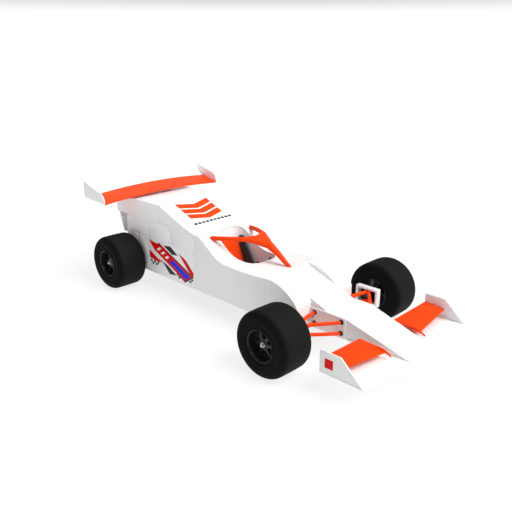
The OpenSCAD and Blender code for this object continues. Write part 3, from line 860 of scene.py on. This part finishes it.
def looseParts(bm):
    left, parts = set(bm.verts), []
    while left:
        grow, part = [left.pop()], []
        while grow:
            vert = grow.pop()
            part.append(vert)
            for edge in vert.link_edges:
                other = edge.other_vert(vert)
                if other in left:
                    left.discard(other)
                    grow.append(other)
        parts.append(part)
    return parts


makeSeatShell()
for node, look in padSet.items():
    makePad(node, look)
print("seat is ready")


yokeSet = {"grip": (88, 15, 112), "column": 11, "head": (-160.8, 51.6), "foot": (-2.8, 10.6),
           "buttons": [(-36, 14), (-36, -2), (-36, -18), (36, 14), (36, -2), (36, -18), (-14, -24),
                       (14, -24)]}


def makeSteeringWheel():
    base = anchor("steering_wheel", 1, 0.5, 0)
    head, foot = (base + mm(yokeSet[key][0], 0, yokeSet[key][1]) for key in ("head", "foot"))
    lean = math.atan2(head.z - foot.z, foot.x - head.x)
    turn = Matrix.Translation(head) @ Matrix.Rotation(lean, 4, "Y")
    bm = bmesh.new()
    gripY, gripR, gripLong = (v / 1000 for v in yokeSet["grip"])
    for side in (1, -1):
        rings = 9
        sections = []
        for i in range(rings + 1):
            share = i / rings
            z = 0.004 + gripLong * (share - 0.5)
            r = gripR * (0.62 if i in (0, rings) else 0.95 if i in (1, rings - 1) else 1.0 - 0.07 * (i % 2))
            sections.append([Vector((r * 0.86 * math.cos(a) - 0.002, side * gripY + r * math.sin(a), z))
                             for a in [math.tau * k / 20 for k in range(20)]])
        loft(bm, sections)
    addBlock(bm, Vector((0, 0, -0.004)), mm(20, 2 * yokeSet["grip"][0] - 10, 44), 0.006, 3)
    addBlock(bm, Vector((-0.006, 0, -0.003)), mm(26, 92, 62), 0.007, 3)
    for side in (1, -1):
        addBlock(bm, Vector((0.010, side * 0.066, 0.004)), mm(4, 46, 34), 0.0015, 2)
    bmesh.ops.transform(bm, matrix=turn, verts=bm.verts)
    addTube(bm, head + (foot - head) * 0.02, foot, yokeSet["column"] / 1000, None, 28, 0.002)
    faceOut(bm)
    finishPiece("steeringYoke", bm, "dark_composite", ("steering_wheel",), 40, "steering_wheel")
    # blank display and plain push buttons
    bm = bmesh.new()
    addBlock(bm, Vector((-0.0192, 0, 0.006)), mm(2, 58, 30), 0.0008, 2)
    bmesh.ops.transform(bm, matrix=turn, verts=bm.verts)
    finishPiece("steeringDisplay", bm, "dark_composite", (), 30, "steering_wheel", blackVinyl)
    bm = bmesh.new()
    for y, z in yokeSet["buttons"]:
        addTube(bm, mm(-18.5, y, z), mm(-23.5, y, z), 0.0045, 0.0040, 20, 0.0008)
    bmesh.ops.transform(bm, matrix=turn, verts=bm.verts)
    finishPiece("steeringButtons", bm, "dark_composite", (), 30, "steering_wheel", redVinyl)


makeSteeringWheel()
print("steering wheel is ready")


# Front suspension

armSet = {"leg": 17, "neck": 11.5, "legs": (-45, 263), "levels": ((-55, -45), (54, 44)), "kingIn": 22,
          "bush": 24}


def makeArms():
    bm = bmesh.new()
    rods = bmesh.new()
    rubber = bmesh.new()
    axle = anchor("tyre_front_left", 0.5, 0.5, 0.5)
    kingY = anchor("upright_left", 0.5, 1, 0.5).y - armSet["kingIn"] / 1000
    boxY, bushY = (anchor(node, 0.5, 1, 0.5).y for node in ("suspension_box", "arm_bushes"))
    leg, neck = armSet["leg"] / 1000, armSet["neck"] / 1000
    for side in (1, -1):
        for inZ, outZ in armSet["levels"]:
            eye = Vector((axle.x, side * kingY, axle.z + outZ / 1000))
            for x in armSet["legs"]:
                socket = Vector((axle.x + x / 1000, side * (bushY + 0.001), axle.z + inZ / 1000))
                way = (eye - socket).normalized()
                addTube(bm, socket + way * 0.018, eye - way * 0.034, leg, None, 32)
                addTube(bm, socket + way * 0.018, socket + way * 0.002, leg, neck, 32)
                addTube(bm, eye - way * 0.034, eye - way * 0.020, leg, neck, 32)
                outer = Vector((socket.x, side * (boxY - 0.012), socket.z))
                ring = [(armSet["bush"] - 0.4, 0), (armSet["bush"] - 0.4, 16), (armSet["bush"] - 2.5, 18),
                        (17, 18), (14.5, 15.5), (13, 15.5), (13, 0)]
                spinProfile(rubber, [(r / 1000, a / 1000) for r, a in ring], outer, 40, side)
            knuckle = [(12.06, -13), (20, -13), (23, -10), (24, -6), (24, 6), (23, 10), (20, 13), (12.06, 13)]
            spinProfile(rods, [(mm(r), mm(a)) for r, a in knuckle], eye, 48, axis=(0, 0, 1))
    faceOut(rods)
    faceOut(rubber)
    finishPiece("frontArmTubes", bm, "orange_paint", ("front_arms",), 34)
    finishPiece("frontArmEyes", rods, "dark_metal")
    finishPiece("armSocketRings", rubber, "dark_composite", ("arm_bushes",), 34)


makeArms()
for sideName in sides:
    makeRounded("hub_carrier_" + sideName, "Forging", 1.5, 2)
makeRounded("steering_rack", "Bar", 1.2, 2, brightMetal)
print("front suspension is ready")


# Rear drive and light

gearboxSet = {"cover": (92, 14), "boss": (41.4, 35, 8), "bolts": 10, "bolt": (82, 6, 7), "back": 150,
              "side": 120, "ribs": (-90, -45, 45, 90), "rib": (6, 9), "plug": (11, 9)}


# Cast ribs, a round end cover with its bolts, and a drain plug, on the gearbox's CAD shape
def addGearboxDetails(bm):
    axle = anchor("tyre_rear_left", 0.5, 0.5, 0.5).x
    low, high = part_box("gearbox")
    middle = Vector((axle - mm(gearboxSet["back"]), 0, anchor("rear_axle", 0.5, 0.5, 0.5).z + 0.040))
    wide, deep = (mm(v) for v in gearboxSet["cover"])
    face = middle - Vector((deep, 0, 0))
    addTube(bm, middle + mm(2, 0, 0), face, wide, wide - 0.004, 64, 0.003)
    boss, bossTip, bossTall = (mm(v) for v in gearboxSet["boss"])
    addTube(bm, face, face - Vector((bossTall, 0, 0)), boss, bossTip, 40, 0.002)
    ring, size, tall = (mm(v) for v in gearboxSet["bolt"])
    for i in range(gearboxSet["bolts"]):
        turn = math.tau * (i + 0.5) / gearboxSet["bolts"]
        start = face + Vector((0.001, ring * math.sin(turn), ring * math.cos(turn)))
        addTube(bm, start, start - Vector((tall, 0, 0)), size, None, 6, 0.0008)
    thick, proud = (mm(v) for v in gearboxSet["rib"])
    across = mm(gearboxSet["side"]) + proud / 2 - 0.0005
    for side in (1, -1):
        for x in gearboxSet["ribs"]:
            place = Vector((axle + mm(x), side * across, (low.z + high.z) / 2))
            addBlock(bm, place, Vector((thick, proud, (high.z - low.z) * 0.86)), 0.002, 2)
    start = middle + mm(-1, 70, -150)
    addTube(bm, start, start - mm(gearboxSet["plug"][1], 0, 0), mm(gearboxSet["plug"][0]), None, 6, 0.001)


makeRounded("rear_axle", "Body", 2)
makeRounded("gearbox", "Body", 6, 3, None, addGearboxDetails)
makeRounded("engine_block", "Body", 8)
makeRounded("rear_light", "Lens", 5)
print("rear drive is ready")


# Graphics: plain bars in place of the printed marks

def topAt(tree, x, y=0.0):
    return tree.ray_cast(Vector((x, y, 3)), Vector((0, 0, -1)))[0].z


def surfaceOf(*nodes):
    bm = cadCopy(*nodes)
    tree = BVHTree.FromBMesh(bm)
    bm.free()
    return tree


coverMarkSet = {"from": -548, "half": 226, "bars": 3, "bar": 78, "gap": 20, "point": 56,
                "dashX": -169, "dash": (40, 14, 30), "dashes": 10}


def makeCoverMark():
    tree = surfaceOf("engine_cover")
    look = coverMarkSet
    front = anchor("engine_cover", 1, 0.5, 1)
    bm = bmesh.new()
    for i in range(look["bars"]):
        x0 = look["from"] + i * (look["bar"] + look["gap"])
        for side in (1, -1):
            made = bmesh.ops.create_grid(bm, x_segments=6, y_segments=10, size=0.5)["verts"]
            for vert in made:
                along, across = vert.co.x + 0.5, vert.co.y + 0.5
                vert.co = front + mm(x0 + along * look["bar"] + (1 - across) * look["point"],
                                     side * across * look["half"], 0)
    weld(bm, 0.0005)
    layThin(bm, tree)
    finishPiece("coverChevrons", bm, "orange_paint")
    bm = bmesh.new()
    long, gap, deep = look["dash"]
    whole = look["dashes"] * long + (look["dashes"] - 1) * gap
    for i in range(look["dashes"]):
        made = bmesh.ops.create_grid(bm, x_segments=2, y_segments=3, size=0.5)["verts"]
        for vert in made:
            vert.co = front + mm(look["dashX"] + vert.co.x * deep,
                                 -whole / 2 + i * (long + gap) + (vert.co.y + 0.5) * long, 0)
    layThin(bm, tree)
    finishPiece("coverDashes", bm, "dark_composite", material=blackVinyl)


def layThin(bm, tree):
    faceOut(bm)
    if sum(face.normal.z for face in bm.faces) < 0:
        bmesh.ops.reverse_faces(bm, faces=bm.faces[:])
    grown = bmesh.ops.extrude_face_region(bm, geom=bm.faces[:])["geom"]
    top = {item for item in grown if isinstance(item, bmesh.types.BMVert)}
    for vert in bm.verts:
        vert.co.z = topAt(tree, vert.co.x, vert.co.y) + (0.0012 if vert in top else 0.0002)
    faceOut(bm)


makeCoverMark()

sideMarkSet = {
    "x": (-812, -27), "z": (22, 388), "rows": [(0.62, 0.16, 9), (0.02, 0.30, 5)], "square": (0.040, 0.075),
    "Black": [[(0.10, 0.84), (0.24, 0.99), (1.00, 0.30), (0.80, 0.02)],
              [(0.34, 0.96), (0.50, 1.00), (0.66, 0.80), (0.54, 0.76)],
              [(0.30, 0.44), (0.42, 0.36), (0.62, 0.14), (0.46, 0.10)]],
    "Red": [[(0.00, 1.00), (0.13, 0.96), (0.30, 0.92), (0.96, 0.29), (0.79, 0.06), (0.12, 0.72)],
            [(0.00, 0.66), (0.20, 0.46), (0.33, 0.42), (0.20, 0.36), (0.00, 0.42)],
            [(0.68, 0.88), (0.84, 0.74), (1.00, 0.42), (0.98, 0.28), (0.88, 0.44)]],
    "White": [[(0.18, 0.77), (0.25, 0.86), (0.29, 0.82), (0.22, 0.73)],
              [(0.27, 0.68), (0.34, 0.77), (0.38, 0.73), (0.31, 0.64)],
              [(0.36, 0.59), (0.43, 0.68), (0.47, 0.64), (0.40, 0.55)]],
    "Blue": [[(0.46, 0.50), (0.54, 0.60), (0.92, 0.26), (0.82, 0.13)]],
    "lift": {"Black": 0.5, "Red": 0.8, "White": 1.1, "Blue": 1.1}}


def makeSideMark(sideName, side):
    low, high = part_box("rear_side_" + sideName)
    x0, x1 = (high.x + mm(x) for x in sideMarkSet["x"])
    z0, z1 = (low.z + mm(z) for z in sideMarkSet["z"])
    face = sideFace("rear_side_" + sideName, side) + side * 0.0001
    wide, tall = sideMarkSet["square"]
    squares = []  # small squares in two rows
    for u0, v0, count in sideMarkSet["rows"]:
        for i in range(2 * count):
            u, v = u0 + (i // 2) * wide, v0 - (i % 2) * tall
            if (i // 2 + i) % 2 == 0 and u + wide < 1 and v > 0:
                squares.append([(u, v), (u + wide, v), (u + wide, v + tall), (u, v + tall)])
    for name, paint, slot in (("Black", blackVinyl, "dark_composite"), ("Red", redVinyl, "red_lens"),
                              ("White", whitePaint, "white_paint"), ("Blue", blueVinyl, "dark_composite")):
        bm = bmesh.new()
        for points in sideMarkSet[name] + (squares if name == "Black" else []):
            plateFrom(bm, [Vector((x0 + (x1 - x0) * u, face, z0 + (z1 - z0) * v)) for u, v in points],
                      Vector((0, side * mm(sideMarkSet["lift"][name]), 0)))
        finishPiece("sideStripes" + name + sideName.capitalize(), bm, slot, material=paint)


for sideName, sign in sides.items():
    makeSideMark(sideName, sign)


sealSet = {"high": 211, "low": 415, "rear": 189, "depth": (2, 10), "wide": 3.0, "cowl": 396,
           "split": (0.281, 0.418, 0.557, 0.709), "inset": 26, "fastener": (7, 1.0)}


# Sealing beads in the gaps between the side panels, and turn-fasteners near the panels' corners
def makePanelDetails(sideName, side):
    low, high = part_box("rear_side_" + sideName)
    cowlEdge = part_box("mid_side_" + sideName)[1].x + 0.0015
    face = sideFace("rear_side_" + sideName, side)
    highRow, lowRow = (high.z - mm(sealSet[key]) for key in ("high", "low"))
    rear = low.x + mm(sealSet["rear"])
    a, b, c, d = (low.x + (high.x - low.x) * share for share in sealSet["split"])
    near, far, wide = (mm(v) for v in (*sealSet["depth"], sealSet["wide"]))
    deep, middle = far - near, face - side * (near + far) / 2
    tree = surfaceOf("engine_cover")
    bm = bmesh.new()
    for z, start in ((highRow, low.x + 0.01), (lowRow, rear + 0.01)):
        addBlock(bm, ((start + high.x) / 2, middle, z), (high.x - start - 0.004, deep, wide), 0.0004, 1)
    runs = [(a, low.z, lowRow), (b, low.z, lowRow), (a, lowRow, highRow), (b, lowRow, highRow),
            (d, lowRow, highRow), (a, highRow, topAt(tree, a) - 0.008), (c, highRow, topAt(tree, c) - 0.008),
            (high.x + 0.0015, low.z, highRow - 0.004), (cowlEdge, low.z, low.z + mm(sealSet["cowl"]))]
    for x, z0, z1 in runs:
        addBlock(bm, (x, middle, (z0 + z1) / 2), (wide, deep, z1 - z0 - 0.008), 0.0004, 1)
    finishPiece("panelSeals" + sideName.capitalize(), bm, "white_paint")
    bm = bmesh.new()
    radius, proud, inset = (mm(v) for v in (*sealSet["fastener"], sealSet["inset"]))
    panels = [(rear, a, lowRow, highRow), (a, b, lowRow, highRow), (b, d, lowRow, highRow),
              (d, high.x, lowRow, highRow), (a, b, low.z, lowRow), (b, high.x, low.z, lowRow)]
    for x0, x1, z0, z1 in panels:
        for x in (x0 + inset, x1 - inset):
            for z in (z0 + inset, z1 - inset):
                start = Vector((x, face - side * 0.001, z))
                addTube(bm, start, start + Vector((0, side * (0.001 + proud), 0)), radius, None, 20, 0.0006)
                addBlock(bm, start + Vector((0, side * (0.0013 + proud), 0)), mm(9, 0.6, 1.6), 0.0001, 1)
    finishPiece("panelFasteners" + sideName.capitalize(), bm, "dark_metal", material=brightMetal)


tailMarkSet = {"line": [(11, 171), (94, 170), (85, 93), (73, 93), (80, 158), (13, 159)], "lift": 2.5}


# Pale bracket on the recessed side of the tail
def makeTailMark():
    low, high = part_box("tail_frame")
    bm = bmesh.new()
    for side in (1, -1):
        corner = Vector((low.x, side * (high.y + 0.0001), low.z))
        plateFrom(bm, [corner + mm(x, 0, z) for x, z in tailMarkSet["line"]],
                  mm(0, side * tailMarkSet["lift"], 0))
    roundEdges(bm, 0.0006, 2)
    finishPiece("tailBrackets", bm, "inner_white", material=whitePaint)


for sideName, sign in sides.items():
    makePanelDetails(sideName, sign)
makeTailMark()


plateMarkSet = {"place": (95, 88), "square": (84, 0.8, 84)}


def makePlateMark():
    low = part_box("front_end_plates")[0]
    x, z = (mm(v) for v in plateMarkSet["place"])
    size = mm(*plateMarkSet["square"])
    bm = bmesh.new()
    for side in (1, -1):
        face = sideFace("front_end_plates", side)
        addBlock(bm, (low.x + x, face + side * size.y / 2, low.z + z), size, 0.0003, 1)
    finishPiece("plateSquares", bm, "red_lens", material=redVinyl)


makePlateMark()
print("graphics are ready")
